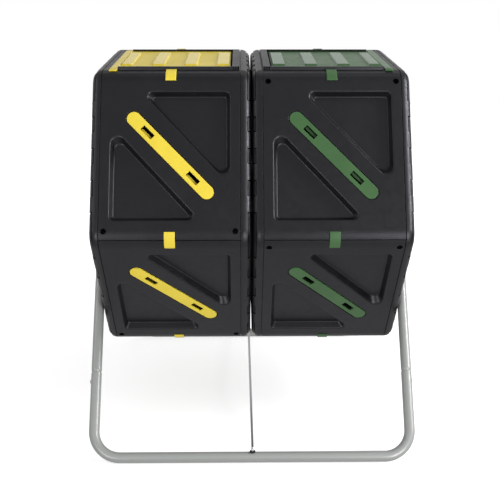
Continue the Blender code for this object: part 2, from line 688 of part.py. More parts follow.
def build_stand(grey, zinc, rubber, plastic):
    for end, name in ((-1, "front"), (1, "rear")):
        add_object(f"{name}_base_tube", base_tube(f"{name}_base_tube", end, grey))
        add_object(f"{name}_rod_grommet", rod_grommet(end, rubber))
        for label, side in SIDES.items():
            add_object(f"{name}_{label}_leg", leg(f"{name}_{label}_leg", side, end, grey))
    add_object("tie_rod", tie_rod(zinc))
    build_axle(grey, zinc, plastic)


def main():
    for existing in list(bpy.data.objects):
        bpy.data.objects.remove(existing)
    black = material("black_polypropylene", (0.031, 0.031, 0.034), 0.5)
    yellow = material("yellow_polypropylene", (0.85, 0.66, 0.06), 0.45)
    green = material("green_polypropylene", (0.061, 0.171, 0.053), 0.45)
    grey = material("grey_powder_coat", (0.38, 0.39, 0.38), 0.4, 0.2)
    zinc = material("zinc_plated_steel", (0.55, 0.56, 0.58), 0.35, 0.9)
    rubber = material("black_rubber", (0.015, 0.015, 0.015), 0.8)
    shared = {name: end_cap(width, black) for name, width in RIM_WIDTHS.items()}
    shared["side_panel"] = side_panel(black)
    build_stand(grey, zinc, rubber, black)
    for label, side in SIDES.items():
        build_drum(label, side, shared, black, yellow if side < 0 else green)


main()
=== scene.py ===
"""Looks of the twin-chamber compost tumbler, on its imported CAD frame.  Metres, +Z up, -Y is the front.

Drum pieces are modelled around the axle: local x along the axle, local z out through the middle of a
panel.  Turning a piece about x by a multiple of 60 degrees puts it on the next side of the drum."""

import math

import bmesh
import bpy
from mathutils import Matrix, Vector


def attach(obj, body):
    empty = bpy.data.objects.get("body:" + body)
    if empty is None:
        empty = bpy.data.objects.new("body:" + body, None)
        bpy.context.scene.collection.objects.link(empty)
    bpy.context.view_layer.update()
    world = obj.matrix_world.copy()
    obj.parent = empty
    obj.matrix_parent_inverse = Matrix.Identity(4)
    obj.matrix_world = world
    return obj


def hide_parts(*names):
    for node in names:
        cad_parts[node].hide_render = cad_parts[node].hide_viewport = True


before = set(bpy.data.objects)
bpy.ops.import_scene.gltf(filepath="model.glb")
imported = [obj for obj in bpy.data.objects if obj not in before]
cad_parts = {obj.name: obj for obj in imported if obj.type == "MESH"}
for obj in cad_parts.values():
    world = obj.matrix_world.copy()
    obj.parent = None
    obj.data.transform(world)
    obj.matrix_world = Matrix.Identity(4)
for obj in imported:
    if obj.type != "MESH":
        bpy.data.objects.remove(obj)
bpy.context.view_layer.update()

# ---- sizes shared with the CAD ----
GAP = 0.0003
AXLE_HEIGHT = 0.458
DRUM_TILT = math.radians(7.03)
HEX_RADIUS = 0.3195
CORNER_RADIUS = 0.037
DRUM_GAP = 0.003
RIM_WIDTHS = {"inner": 0.020, "outer": 0.018}
PANEL_LENGTH = 0.2555
PANEL_WALL = 0.003

RECESS_DEPTH = 0.0135
RECESS_CORNER = (0.1096, 0.1211)
RECESS_LEGS = (0.1641, 0.1792)
RECESS_RADII = (0.0087, 0.0092, 0.0142)
RECESS_SLOPE = 0.006

STRIP_LENGTH = 0.2185
STRIP_WIDTH = 0.026
STRIP_TURN = math.radians(-46)
STRIP_SINK = 0.0022
STRIP_RISE = 0.0006
VENT_SLOT = (0.0275, 0.0105)
VENT_SPACING = 0.120

SCREW_PLACE = (0.1185, 0.141)
HATCH_SCREW_Y = 0.125
CLIP_WIDTH = 0.0195
CLIP_REACH = math.radians(24)
CLIP_THICKNESS = 0.0022

DOOR_FRONT, DOOR_BACK = -0.1375, 0.0985
DOOR_INNER, DOOR_OUTER = 0.0395, 0.2655
DOOR_LIFT = 0.0004
DOOR_TOP = 0.0019
DOOR_RIB_TOP = 0.0048
DOOR_RIBS = 4
DOOR_RIB_PITCH = 0.0622
DOOR_RIB_WIDTH = 0.026
DOOR_RIB_SPAN = (-0.100, 0.066)
HEAD_WIDTH = 0.015
HEAD_TOP = 0.0034
HEAD_BACK = 0.108
HEAD_WRAP = math.radians(18)
RAIL_TOP = 0.006
RAIL_WALL = 0.0035
RAIL_LIP = 0.0030
MOUTH = (0.060, 0.238, -0.125, 0.088)
MOUTH_RADIUS = 0.012
RAIL_PLAY = (0.001, 0.0015)
RAIL_INSET = 0.001
LIP_THICKNESS = 0.0016
HEAD_LAP = 0.003
RIB_MARGIN = 0.0012
DRIP_SLOT = (0.0035, 0.004)

CAP_WEB = (0.009, 0.012)
CAP_SPIGOT = 0.014
CAP_WALL = 0.003
HUB_RADIUS = 0.026
HUB_END = 0.030
HUB_BORE = 0.0114
SPACER_RADIUS = 0.019
AXLE_RADIUS = 0.011
AXLE_WALL = 0.0015
AXLE_SETBACK = 0.001
PLUG_LENGTH = 0.025
BOLT_RADIUS = 0.005
BOLT_HEAD = (0.0098, 0.0064)
WASHER = (0.0105, 0.0018)

TUBE_RADIUS = 0.010
TUBE_WALL = 0.0012
RAIL_Y = 0.346
CORNER_X = 0.2985
BEND_RADIUS = 0.052
LEG_TOP_X = 0.3135
JOINT_DISTANCE = 0.164
SWAGE_LENGTH = 0.036
PADDLE_THICKNESS = 0.0026
PADDLE_WIDTH = 0.0284
ROD_RADIUS = 0.0025
ROD_HEIGHT = 0.028
ROD_BEND = 0.005
ROD_FOOT = 0.0115
GROMMET_RADII = (0.0029, 0.0038, 0.0056)

APOTHEM = HEX_RADIUS * math.cos(math.pi / 6)
FILLET_CENTRE = HEX_RADIUS - CORNER_RADIUS / math.cos(math.pi / 6)
INNER_FACE = DRUM_GAP / 2
OUTER_FACE = INNER_FACE + sum(RIM_WIDTHS.values()) + PANEL_LENGTH
PANEL_MIDDLE = INNER_FACE + RIM_WIDTHS["inner"] + PANEL_LENGTH / 2
DOOR_MIDDLE, DOOR_HALF = (DOOR_FRONT + DOOR_BACK) / 2, (DOOR_BACK - DOOR_FRONT) / 2
RAIL_Z = TUBE_RADIUS * math.cos(math.pi / 12)
SIDES = {"left": -1, "right": 1}

# ---- finer shape, for the looks only ----
LAP = 0.001                     # overlap of shapes that are joined
SKIN = 0.00004                  # a brim starts this far above a surface, so that no faces coincide
CUT_TOP, CUT_BOTTOM = 0.01, -0.02       # heights that cutting shapes run to
BACK_GROW = 0.8 * PANEL_WALL    # a recess's back is this much wider than the recess
SHARP = math.radians(35)        # edges that turn by more than this are shaded as sharp
ARC_STEPS = 8                   # facets in half of a drum corner
SEAM_ROUND = 0.0003             # worn edges of the panels
SEAM_GAP = 0.0012               # open joint between panels, and between a panel and a rim
RECESS_TOP_ROUND = 0.0035
RECESS_FLOOR_ROUND = 0.0030
STRIP_ROUND = 0.0008
POCKET_CLEAR = 0.0021           # dark line round a strip
SLOT_WALL = 0.0014              # collar behind a vent slot
SLOT_DEPTH = 0.0100
BAFFLE = 0.0012                 # coloured baffle across half of a vent slot, at the collar's foot
RAIL_ROUND = 0.0014
LIP_ROUND = 0.0005
STOP_BAR_ROUND = 0.001
RAIL_NOTCH = (0.0020, 0.0046)   # cuts in the front rail past the hatch: width and pitch
FIRST_NOTCH = 0.0245            # along the axle, from the middle of the tumbler
NOTCH_REACH = (0.0045, 0.0012)  # across the rail, either way, and below the panel's surface
BORE_RADIUS = 0.0053            # hole over a panel screw
BORE_DEPTH = 0.0140
BOSS_WALL = 0.0014
SCREW_HEAD = (0.0040, 0.0024)   # radius, and height over the bore's floor
SCREW_DOME = (0.0022, 0.0016)
CROSS = (0.0019, 0.0004, 0.0011)        # half length, half width and depth of the cross recess
HATCH_ROUND = 0.0005
HEAD_ROUND = (0.0060, 0.0018)   # rounding of the hatch head's outer edge, along and down
HEAD_BEVELS = (0.0006, 0.0007)  # of the hatch head's other edges, along and down
RIM_CROWN = (0.0155, 0.0115)    # fall of the rim towards its end face, along and inwards
CROWN_POWER = 1.65              # 2 would be a quarter of an ellipse, and 1 a straight chamfer
TOOTH_LENGTH = 0.030
TOOTH_PITCH = 0.060
TOOTH_BLOCK = (0.0001, 0.0008, 0.00003)         # start, reach past the groove, and rise over the rim
STRAP_WIDTH = 0.0052            # sunk strap between the teeth
STRAP_SINK = 0.0013
GROOVE = (0.0014, 0.0020)       # width, and depth below the strap
TICK = (0.0020, 0.0022)         # cuts at the ends of a tooth: width, and depth below the groove
HUB_BEVEL = (0.001, 0.002, 0.003)       # along, and inwards in two steps
CAP_RIB = (0.0035, 0.0017)      # set-back from the end face, and half width
CAP_RIB_STOPS = (0.008, 0.016)  # short of the drum's flats, and short of its corners
TUBE_SIDES = 32
TUBE_MOUTH = (0.0005, 0.0006, 0.002)    # rounding of a tube's mouth: inwards, and along in two steps
PADDLE_TAPER = (0.064, 0.038)   # where a leg's end starts to flatten, short of its eye, and over what length
GROMMET = (0.004, 0.0026, 0.0014)       # depth in the tube, height over it, and rounding
POLISHED = 0.27                 # roughness where a moulding is rubbed smooth
SHEEN = (0.92, 0.93, 1.0)       # cool tint of a moulding's highlights

DRUM_PLACE = Matrix.Translation((0, 0, AXLE_HEIGHT)) @ Matrix.Rotation(DRUM_TILT, 4, "X")
HALF_TURN = Matrix.Rotation(math.pi, 4, "Z")


# ---- materials ----
def new_material(name):
    """A material, its node tree, its shader and its object coordinates."""
    made = bpy.data.materials.new(name)
    made.use_nodes = True
    tree = made.node_tree
    place = tree.nodes.new("ShaderNodeTexCoord").outputs["Object"]
    return made, tree, tree.nodes["Principled BSDF"], place


def noise(tree, scale, detail, coordinates, distortion=0.0):
    node = tree.nodes.new("ShaderNodeTexNoise")
    node.inputs["Scale"].default_value = scale
    node.inputs["Detail"].default_value = detail
    node.inputs["Distortion"].default_value = distortion
    tree.links.new(coordinates, node.inputs["Vector"])
    return node.outputs["Fac"]


def spread(tree, value, low, high, start=0.3, stop=0.7):
    """The value from start to stop, mapped to low..high."""
    node = tree.nodes.new("ShaderNodeMapRange")
    for name, number in (("From Min", start), ("From Max", stop), ("To Min", low), ("To Max", high)):
        node.inputs[name].default_value = number
    tree.links.new(value, node.inputs["Value"])
    return node.outputs["Result"]


def mixed(tree, factor, first, second):
    node = tree.nodes.new("ShaderNodeMix")
    node.data_type = "RGBA"
    node.inputs["A"].default_value = (*first, 1)
    node.inputs["B"].default_value = (*second, 1)
    tree.links.new(factor, node.inputs["Factor"])
    return node.outputs["Result"]


def bumped(tree, shader, layers):
    """Chained bump nodes, one for each (height, strength, depth)."""
    normal = None
    for height, strength, depth in layers:
        node = tree.nodes.new("ShaderNodeBump")
        node.inputs["Strength"].default_value = strength
        node.inputs["Distance"].default_value = depth
        tree.links.new(height, node.inputs["Height"])
        if normal:
            tree.links.new(normal, node.inputs["Normal"])
        normal = node.outputs["Normal"]
    tree.links.new(normal, shader.inputs["Normal"])


def moulded_plastic(name, dark, light, roughness, grain, specular=0.5):
    """Injection-moulded polypropylene: slow mottling, a fine spark-eroded grain and faint flow marks.
    Where a mesh's "polish" attribute nears 1, rubbing has made it smooth."""
    made, tree, shader, place = new_material(name)
    cloud = noise(tree, 14, 4, place, 0.6)
    flow = noise(tree, 55, 3, place, 1.5)
    pores = noise(tree, 1500, 2, place)
    tree.links.new(mixed(tree, spread(tree, cloud, 0, 1), dark, light), shader.inputs["Base Color"])
    polish = tree.nodes.new("ShaderNodeAttribute")
    polish.attribute_name = "polish"
    rubbed = tree.nodes.new("ShaderNodeMix")
    rubbed.inputs["B"].default_value = POLISHED
    tree.links.new(polish.outputs["Fac"], rubbed.inputs["Factor"])
    tree.links.new(spread(tree, flow, roughness - 0.05, roughness + 0.05), rubbed.inputs["A"])
    tree.links.new(rubbed.outputs["Result"], shader.inputs["Roughness"])
    shader.inputs["Specular IOR Level"].default_value = specular
    shader.inputs["Specular Tint"].default_value = (*SHEEN, 1)
    bumped(tree, shader, [(flow, 0.12, 0.0004), (pores, grain, 0.00012)])
    return made


def powder_coat(name, dark, light):
    """Powder-coated tube: a light orange peel with specks."""
    made, tree, shader, place = new_material(name)
    peel = noise(tree, 420, 2, place)
    speck = noise(tree, 1900, 2, place)
    speckle = spread(tree, speck, 0, 1, 0.35, 0.65)
    tree.links.new(mixed(tree, speckle, dark, light), shader.inputs["Base Color"])
    tree.links.new(spread(tree, peel, 0.30, 0.40), shader.inputs["Roughness"])
    shader.inputs["Metallic"].default_value = 0.15
    bumped(tree, shader, [(peel, 0.18, 0.0002)])
    return made


def plated_steel(name, dark, light, roughness):
    """Zinc plating with a faint spangle and fine turning scratches."""
    made, tree, shader, place = new_material(name)
    spangle = noise(tree, 300, 3, place, 0.8)
    scratch = noise(tree, 2400, 2, place)
    tree.links.new(mixed(tree, spread(tree, spangle, 0, 1), dark, light), shader.inputs["Base Color"])
    tree.links.new(spread(tree, scratch, roughness - 0.08, roughness + 0.08), shader.inputs["Roughness"])
    shader.inputs["Metallic"].default_value = 1.0
    bumped(tree, shader, [(scratch, 0.15, 0.00005)])
    return made


BLACK = moulded_plastic("moulded_black", (0.0030, 0.0030, 0.0038), (0.0050, 0.0050, 0.0062), 0.41, 0.35, 0.52)
YELLOW = moulded_plastic("moulded_yellow", (0.80, 0.62, 0.045), (0.87, 0.69, 0.060), 0.42, 0.25)
GREEN = moulded_plastic("moulded_green", (0.042, 0.112, 0.034), (0.052, 0.132, 0.042), 0.42, 0.25)
TUBE_GREY = powder_coat("grey_powder_coat", (0.32, 0.33, 0.32), (0.37, 0.38, 0.37))
ZINC = plated_steel("zinc_plating", (0.50, 0.51, 0.53), (0.62, 0.63, 0.64), 0.32)
BLACK_STEEL = plated_steel("blackened_steel", (0.020, 0.020, 0.021), (0.035, 0.035, 0.036), 0.40)
RUBBER = moulded_plastic("moulded_rubber", (0.010, 0.010, 0.010), (0.016, 0.016, 0.016), 0.75, 0.5)


# ---- mesh helpers ----
def new_object(name, data):
    made = bpy.data.objects.new(name, data)
    bpy.context.scene.collection.objects.link(made)
    return made


def finish_mesh(name, shape):
    bmesh.ops.recalc_face_normals(shape, faces=shape.faces)
    for face in shape.faces:
        face.smooth = True
    mesh = bpy.data.meshes.new(name)
    shape.to_mesh(mesh)
    shape.free()
    mesh.set_sharp_from_angle(angle=SHARP)
    return mesh


def loft(name, loops, closed=False):
    """Skin through loops of equal length: capped at both ends, or joined end to start if closed."""
    shape = bmesh.new()
    rings = [[shape.verts.new(point) for point in loop] for loop in loops]
    count = len(rings[0])
    for first, second in zip(rings, rings[1:] + rings[:1] if closed else rings[1:]):
        for i in range(count):
            j = (i + 1) % count
            shape.faces.new((first[i], first[j], second[j], second[i]))
    if not closed:
        shape.faces.new(rings[0])
        shape.faces.new(rings[-1])
    return finish_mesh(name, shape)


def box(name, low, high):
    corners = [(low[1], low[2]), (high[1], low[2]), (high[1], high[2]), (low[1], high[2])]
    return loft(name, [[(x, y, z) for y, z in corners] for x in (low[0], high[0])])


def stacked(name, outline_of, levels):
    """A solid over a panel: outline_of(inset) drawn at each (height above the panel, inset)."""
    return loft(name, [[Vector((*point, APOTHEM + height)) for point in outline_of(inset)]
                       for height, inset in levels])


def turned(name, profile, sides, start, axis="X"):
    """A closed (distance, radius) profile turned around an axis through start."""
    loops = []
    for distance, radius in profile:
        ring = []
        for i in range(sides):
            angle = 2 * math.pi * i / sides
            across, along = radius * math.cos(angle), radius * math.sin(angle)
            point = (distance, across, along) if axis == "X" else (across, along, distance)
            ring.append(start + Vector(point))
        loops.append(ring)
    return loft(name, loops, closed=True)


def moved(mesh, place):
    copy = mesh.copy()
    copy.transform(place)
    return copy


def joined(name, meshes):
    """Several meshes as one, their parts left separate."""
    shape = bmesh.new()
    for mesh in meshes:
        shape.from_mesh(mesh)
    return finish_mesh(name, shape)


def carve(mesh, tools, operation):
    """The mesh with each tool mesh joined to it or cut from it."""
    target = new_object("carve_target", mesh)
    for tool_mesh in tools:
        tool = new_object("carve_tool", tool_mesh)
        cut = target.modifiers.new("cut", "BOOLEAN")
        cut.operation = operation
        cut.solver = "EXACT"
        cut.object = tool
        bpy.context.view_layer.update()
        graph = bpy.context.evaluated_depsgraph_get()
        result = bpy.data.meshes.new_from_object(target.evaluated_get(graph))
        target.modifiers.clear()
        target.data = result
        bpy.data.objects.remove(tool)
    bpy.data.objects.remove(target)
    result.name = mesh.name
    result.set_sharp_from_angle(angle=SHARP)
    return result


def quarter(along, across, steps=3):
    """A quarter-round edge as (run, fall) pairs, from (0, across) to (along, 0)."""
    angles = [math.pi / 2 * k / steps for k in range(steps + 1)]
    return [(along * (1 - math.cos(angle)), across * (1 - math.sin(angle))) for angle in angles]


def inset_corners(corners, distance):
    """A convex anticlockwise polygon with every edge moved inwards."""
    made = []
    count = len(corners)
    for i, corner in enumerate(corners):
        before = (corner - corners[i - 1]).normalized()
        after = (corners[(i + 1) % count] - corner).normalized()
        normals = [Vector((-edge.y, edge.x)) for edge in (before, after)]
        bisector = (normals[0] + normals[1]).normalized()
        made.append(corner + bisector * distance / bisector.dot(normals[0]))
    return made


def rounded(corners, radii, steps):
    """A convex anticlockwise polygon with round corners, one radius for each."""
    points = []
    count = len(corners)
    for i, (corner, radius) in enumerate(zip(corners, radii)):
        before = (corner - corners[i - 1]).normalized()
        after = (corners[(i + 1) % count] - corner).normalized()
        turn = before.angle(after)
        centre = inset_corners(corners, radius)[i]
        first = math.atan2(-before.x, before.y)
        angles = [first + turn * k / steps for k in range(steps + 1)]
        points += [centre + radius * Vector((math.cos(angle), math.sin(angle))) for angle in angles]
    return points


def rectangle(centre, half_length, half_width, turn=0.0):
    along = Vector((math.cos(turn), math.sin(turn)))
    across = Vector((-along.y, along.x))
    return [centre + along * half_length * a + across * half_width * b
            for a, b in ((-1, -1), (1, -1), (1, 1), (-1, 1))]


def stadium(length, width, turn):
    """A slot outline with round ends, its long axis turned from x."""
    steps = 12
    points = []
    for end in (1, -1):
        for k in range(steps + 1):
            angle = -math.pi / 2 + math.pi * k / steps
            points.append(Vector(((length - width) / 2 + width / 2 * math.cos(angle),
                                  width / 2 * math.sin(angle))) * end)
    turner = Matrix.Rotation(turn, 2)
    return [turner @ point for point in points]


def circle(centre, radius):
    sides = 24
    return [centre + radius * Vector((math.cos(a), math.sin(a)))
            for a in (2 * math.pi * (k + 0.5) / sides for k in range(sides))]


def side_turn(side):
    return Matrix.Rotation(math.radians(60 * side), 4, "X")


def corner_point(end, angle, height):
    """A (y, z) point at an angle round one edge of a panel, a height above the drum's surface."""
    radius = CORNER_RADIUS + height
    return (end * (FILLET_CENTRE / 2 + radius * math.sin(angle)),
            FILLET_CENTRE * math.cos(math.pi / 6) + radius * math.cos(angle))


def add_piece(name, mesh, finish, body, nodes=(), place=None):
    made = new_object(name, moved(mesh, place or Matrix.Identity(4)))
    made.data.materials.append(finish)
    normals = made.modifiers.new("even_shading", "WEIGHTED_NORMAL")
    normals.keep_sharp = True
    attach(made, body)
    if nodes:
        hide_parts(*nodes)


# ---- panels ----
def shell_section(drop):
    """A panel's section as (y, z) points, with worn seam edges, its outer skin lowered by drop."""
    reach = math.radians(30) - SEAM_GAP / 2 / CORNER_RADIUS
    start_of_edge = reach - SEAM_ROUND / CORNER_RADIUS
    half = [(start_of_edge * k / ARC_STEPS, 0) for k in range(ARC_STEPS)]
    half += [(reach - run / CORNER_RADIUS, fall) for run, fall in quarter(SEAM_ROUND, SEAM_ROUND)[::-1]]
    outer = [corner_point(-1, angle, -fall - drop) for angle, fall in half[::-1]]
    outer += [corner_point(1, angle, -fall - drop) for angle, fall in half]
    inner = [corner_point(-1, angle, -PANEL_WALL) for angle, fall in half[::-1]]
    inner += [corner_point(1, angle, -PANEL_WALL) for angle, fall in half]
    return outer + inner[::-1]


def panel_shell(name):
    half = PANEL_LENGTH / 2
    stations = [(-half + run, fall) for run, fall in quarter(SEAM_ROUND, SEAM_ROUND)]
    stations += [(-x, fall) for x, fall in stations[::-1]]
    return loft(name, [[(x, y, z) for y, z in shell_section(fall)] for x, fall in stations])


def recess_outline(inset):
    x, y = RECESS_CORNER
    corners = [Vector((x, y)), Vector((x - RECESS_LEGS[0], y)), Vector((x, y - RECESS_LEGS[1]))]
    return rounded(inset_corners(corners, inset), [radius - inset / 2 for radius in RECESS_RADII], 8)


def recess_levels():
    """(height, inset) down the recess: rounded brim, leaning wall, rounded floor edge."""
    lean = math.atan2(RECESS_DEPTH, RECESS_SLOPE)
    steps = 5
    levels = [(SKIN, -RECESS_TOP_ROUND * math.tan(lean / 2) - 0.0003)]
    for k in range(1, steps + 1):
        angle = lean * k / steps
        levels.append((-RECESS_TOP_ROUND * (1 - math.cos(angle)),
                       RECESS_TOP_ROUND * (math.sin(angle) - math.tan(lean / 2))))
    for k in range(steps, -1, -1):
        angle = lean * k / steps
        levels.append((-RECESS_DEPTH + RECESS_FLOOR_ROUND * (1 - math.cos(angle)),
                       RECESS_SLOPE + RECESS_FLOOR_ROUND * (math.tan(lean / 2) - math.sin(angle))))
    return levels


def strip_outline(inset):
    return stadium(STRIP_LENGTH - 2 * inset, STRIP_WIDTH - 2 * inset, STRIP_TURN)


def vent_centres():
    along = Vector((math.cos(STRIP_TURN), math.sin(STRIP_TURN)))
    return [along * end * VENT_SPACING / 2 for end in (-1, 1)]


def vent_outline(centre, grow, half=0):
    """A vent slot's outline, or that of its half nearer the panel's upper (1) or lower (-1) edge."""
    length, width = VENT_SLOT
    if half:
        across = Vector((-math.sin(STRIP_TURN), math.cos(STRIP_TURN)))
        centre = centre + across * half * width / 4
        width = width / 2
    corners = rectangle(centre, length / 2 + grow, width / 2 + grow, STRIP_TURN)
    return rounded(corners, [0.0008 + grow / 2] * 4, 3)


def vent_stack(name, centre, levels, half=0):
    return stacked(name, lambda grow: vent_outline(centre, grow, half), levels)


def screw_bosses(places):
    """Sleeves for the panel screws, on the inside of an end cap's spigot."""
    return [stacked("screw_boss", lambda inset: circle(place, BORE_RADIUS + BOSS_WALL - inset),
                    [(-PANEL_WALL - 2 * GAP, 0), (-BORE_DEPTH - BOSS_WALL, 0.0004)]) for place in places]


def screw_bores(places):
    levels = [(0.003, -0.0005), (-0.00005, -0.0005), (-0.0003, -0.0002), (-0.0007, 0), (-BORE_DEPTH, 0.0002)]
    return [stacked("counterbore", lambda inset: circle(place, BORE_RADIUS - inset), levels)
            for place in places]


def side_screw_places():
    return [Vector((end * SCREW_PLACE[0], -SCREW_PLACE[1])) for end in (-1, 1)]


def side_panel():
    """A drum side: two triangular recesses either side of a slanting pocket for the vent strip."""
    back_levels = [(LAP - PANEL_WALL, -BACK_GROW), (-LAP / 2 - PANEL_WALL, -BACK_GROW),
                   (-RECESS_DEPTH - PANEL_WALL, RECESS_SLOPE - BACK_GROW)]
    boss = stacked("recess_back", recess_outline, back_levels)
    strip_back = stacked("strip_back", strip_outline,
                         [(LAP - PANEL_WALL, -PANEL_WALL), (-STRIP_SINK - PANEL_WALL, -PANEL_WALL)])
    backs = [boss, moved(boss, HALF_TURN), strip_back]
    for centre in vent_centres():
        backs.append(vent_stack("slot_back", centre,
                                [(-0.0045, SLOT_WALL), (-SLOT_DEPTH - SLOT_WALL, SLOT_WALL)]))
    mesh = carve(panel_shell("side_panel"), backs, "UNION")
    recess = stacked("recess", recess_outline, [(CUT_TOP, recess_levels()[0][1])] + recess_levels())
    pocket_levels = [(height, -POCKET_CLEAR - grow) for height, grow in
                     ((CUT_TOP, 0.0007), (SKIN, 0.0007), (-0.0001, 0.0004), (-0.0005, 0), (-STRIP_SINK, 0))]
    tools = [recess, moved(recess, HALF_TURN), stacked("pocket", strip_outline, pocket_levels)]
    for centre in vent_centres():
        tools.append(vent_stack("vent", centre, [(CUT_TOP, 0), (-SLOT_DEPTH, 0)]))
        tools.append(vent_stack("vent", centre, [(CUT_TOP, 0), (CUT_BOTTOM, 0)], 1))
    return carve(mesh, tools + screw_bores(side_screw_places()), "DIFFERENCE")


def vent_strip():
    """The coloured strip with soft edges and two slots, and the baffles deep inside the slots."""
    levels = [(GAP - STRIP_SINK, 0)]
    levels += [(STRIP_RISE - fall, run) for run, fall in quarter(STRIP_ROUND, STRIP_ROUND)]
    plate = stacked("vent_strip", strip_outline, levels)
    slot_levels = [(CUT_TOP, 0.0005), (STRIP_RISE + SKIN, 0.0005), (STRIP_RISE - 0.0001, 0.0002),
                   (STRIP_RISE - 0.0005, 0), (CUT_BOTTOM, 0)]
    slots = [vent_stack("slot", centre, slot_levels) for centre in vent_centres()]
    baffle_levels = [(GAP - SLOT_DEPTH, -GAP), (BAFFLE - SLOT_DEPTH, -GAP)]
    baffles = [vent_stack("baffle", centre, baffle_levels, -1) for centre in vent_centres()]
    return joined("vent_strip", [carve(plate, slots, "DIFFERENCE")] + baffles)


def panel_screw(place):
    """A pan-head screw in its counterbore, with a cross recess."""
    radius, height = SCREW_HEAD
    length, width, depth = CROSS
    seat, top = GAP - BORE_DEPTH, height - BORE_DEPTH
    levels = [(seat, 0), (seat + 0.0006, 0)] + [(top - fall, run) for run, fall in quarter(*SCREW_DOME, 4)]
    head = stacked("panel_screw", lambda inset: circle(place, radius - inset), levels)
    cross = [stacked("cross", lambda inset: rectangle(place, *half), [(CUT_TOP, 0), (top - depth, 0)])
             for half in ((length, width), (width, length))]
    return carve(head, cross, "DIFFERENCE")


def corner_clip():
    """A snap clip that lies over the seam between two panels, modelled over the corner at +y."""
    middle = math.radians(30)
    steps = 20
    loops = []
    for x, shrink in [(-1, 0.0007), (-0.96, 0.0002), (-0.9, 0), (0.9, 0), (0.96, 0.0002), (1, 0.0007)]:
        loop = []
        for order in (1, -1):
            for k in range(steps + 1):
                share = 2 * k / steps - 1
                angle = middle + order * CLIP_REACH * share
                taper = 0.0009 if k in (0, steps) else 0.0002 if k in (1, steps - 1) else 0
                height = GAP + (CLIP_THICKNESS - taper - shrink if order < 0 else 0)
                loop.append((x * CLIP_WIDTH / 2, *corner_point(1, angle, height)))
        loops.append(loop)
    return loft("corner_clip", loops)


# ---- hatch ----
def rail_section(end, inside):
    """An upright with a lip that reaches back over the hatch's edge, its outer corner rounded."""
    wall = inside + end * RAIL_WALL
    lip = inside - end * RAIL_LIP
    foot = APOTHEM - PANEL_WALL + LAP / 2
    top = APOTHEM + RAIL_TOP
    points = [(wall, foot)]
    points += [(wall - end * run, top - fall) for run, fall in quarter(RAIL_ROUND, RAIL_ROUND)]
    return points + [(lip + end * LIP_ROUND, top), (lip, top - LIP_ROUND), (lip, top - LIP_THICKNESS),
                     (inside, top - LIP_THICKNESS), (inside, foot)]


def hatch_frame(side):
    """The drum side with the mouth, two guide rails, and a stop bar and a drip slot at the hatch's
    inner end."""
    start, stop = RAIL_INSET - PANEL_LENGTH / 2, DOOR_OUTER - HEAD_WIDTH - RAIL_INSET - PANEL_MIDDLE
    bar_x = (side * start, side * (DOOR_INNER - DRIP_SLOT[0] - PANEL_MIDDLE))
    bar_middle = Vector((sum(bar_x) / 2, DOOR_MIDDLE))
    bar_half = (abs(bar_x[1] - bar_x[0]) / 2, DOOR_HALF + 2 * RAIL_PLAY[0])
    bar_levels = [(LAP / 2 - PANEL_WALL, 0)]
    bar_levels += [(RAIL_TOP - fall, run) for run, fall in quarter(STOP_BAR_ROUND, STOP_BAR_ROUND)]
    rails = [stacked("stop_bar", lambda inset: rectangle(bar_middle, bar_half[0] - inset, bar_half[1]),
                     bar_levels)]
    for end, inside in ((-1, DOOR_FRONT - RAIL_PLAY[0]), (1, DOOR_BACK + RAIL_PLAY[1])):
        section = rail_section(end, inside)
        rails.append(loft("rail", [[(side * x, y, z) for y, z in section] for x in (start, stop)]))
    mesh = carve(panel_shell("hatch_frame"), rails, "UNION")
    middle = Vector((side * ((MOUTH[0] + MOUTH[1]) / 2 - PANEL_MIDDLE), (MOUTH[2] + MOUTH[3]) / 2))
    mouth = rectangle(middle, (MOUTH[1] - MOUTH[0]) / 2, (MOUTH[3] - MOUTH[2]) / 2)
    tools = [stacked("mouth", lambda inset: rounded(mouth, [MOUTH_RADIUS] * 4, 6),
                     [(-CUT_BOTTOM, 0), (CUT_BOTTOM, 0)])]
    slot_middle = Vector((side * (DOOR_INNER - DRIP_SLOT[0] / 2 - PANEL_MIDDLE), DOOR_MIDDLE))
    slot = rectangle(slot_middle, DRIP_SLOT[0] / 2, DOOR_HALF - DRIP_SLOT[1])
    tools.append(stacked("drip_slot", lambda inset: slot, [(2 * LAP, 0), (CUT_BOTTOM, 0)]))
    for index in range(3):
        centre = Vector((side * (FIRST_NOTCH + RAIL_NOTCH[1] * index - PANEL_MIDDLE), DOOR_FRONT - RAIL_WALL))
        notch = rectangle(centre, RAIL_NOTCH[0] / 2, NOTCH_REACH[0])
        tools.append(stacked("notch", lambda inset: notch, [(RAIL_TOP, 0), (-NOTCH_REACH[1], 0)]))
    return carve(mesh, tools + screw_bores(hatch_screw_places()), "DIFFERENCE")


def hatch_screw_places():
    return [Vector((end * SCREW_PLACE[0], HATCH_SCREW_Y)) for end in (-1, 1)]


def hatch_head(side):
    """The wide outer end of the hatch: rounded over its outer edge, and wrapped over the front corner."""
    steps = 8
    start = DOOR_OUTER - HEAD_WIDTH
    under = DOOR_LIFT + GAP
    along, down = HEAD_BEVELS
    profile = [(start, HEAD_TOP - along), (start + along, HEAD_TOP)]
    profile += [(DOOR_OUTER - run, HEAD_TOP - fall) for run, fall in quarter(*HEAD_ROUND, steps)[::-1]]
    wrap = [HEAD_WRAP * k / steps for k in range(steps + 1)]
    loops = []
    for x, top in profile:
        section = [(HEAD_BACK, APOTHEM + top - down), (HEAD_BACK - down, APOTHEM + top)]
        section += [corner_point(-1, angle, top) for angle in wrap]
        section += [corner_point(-1, HEAD_WRAP + along / CORNER_RADIUS, top - down)]
        section += [corner_point(-1, angle, under) for angle in wrap[::-1]]
        section += [(HEAD_BACK, APOTHEM + under)]
        loops.append([(side * x, y, z) for y, z in section])
    return loft("hatch_head", loops)


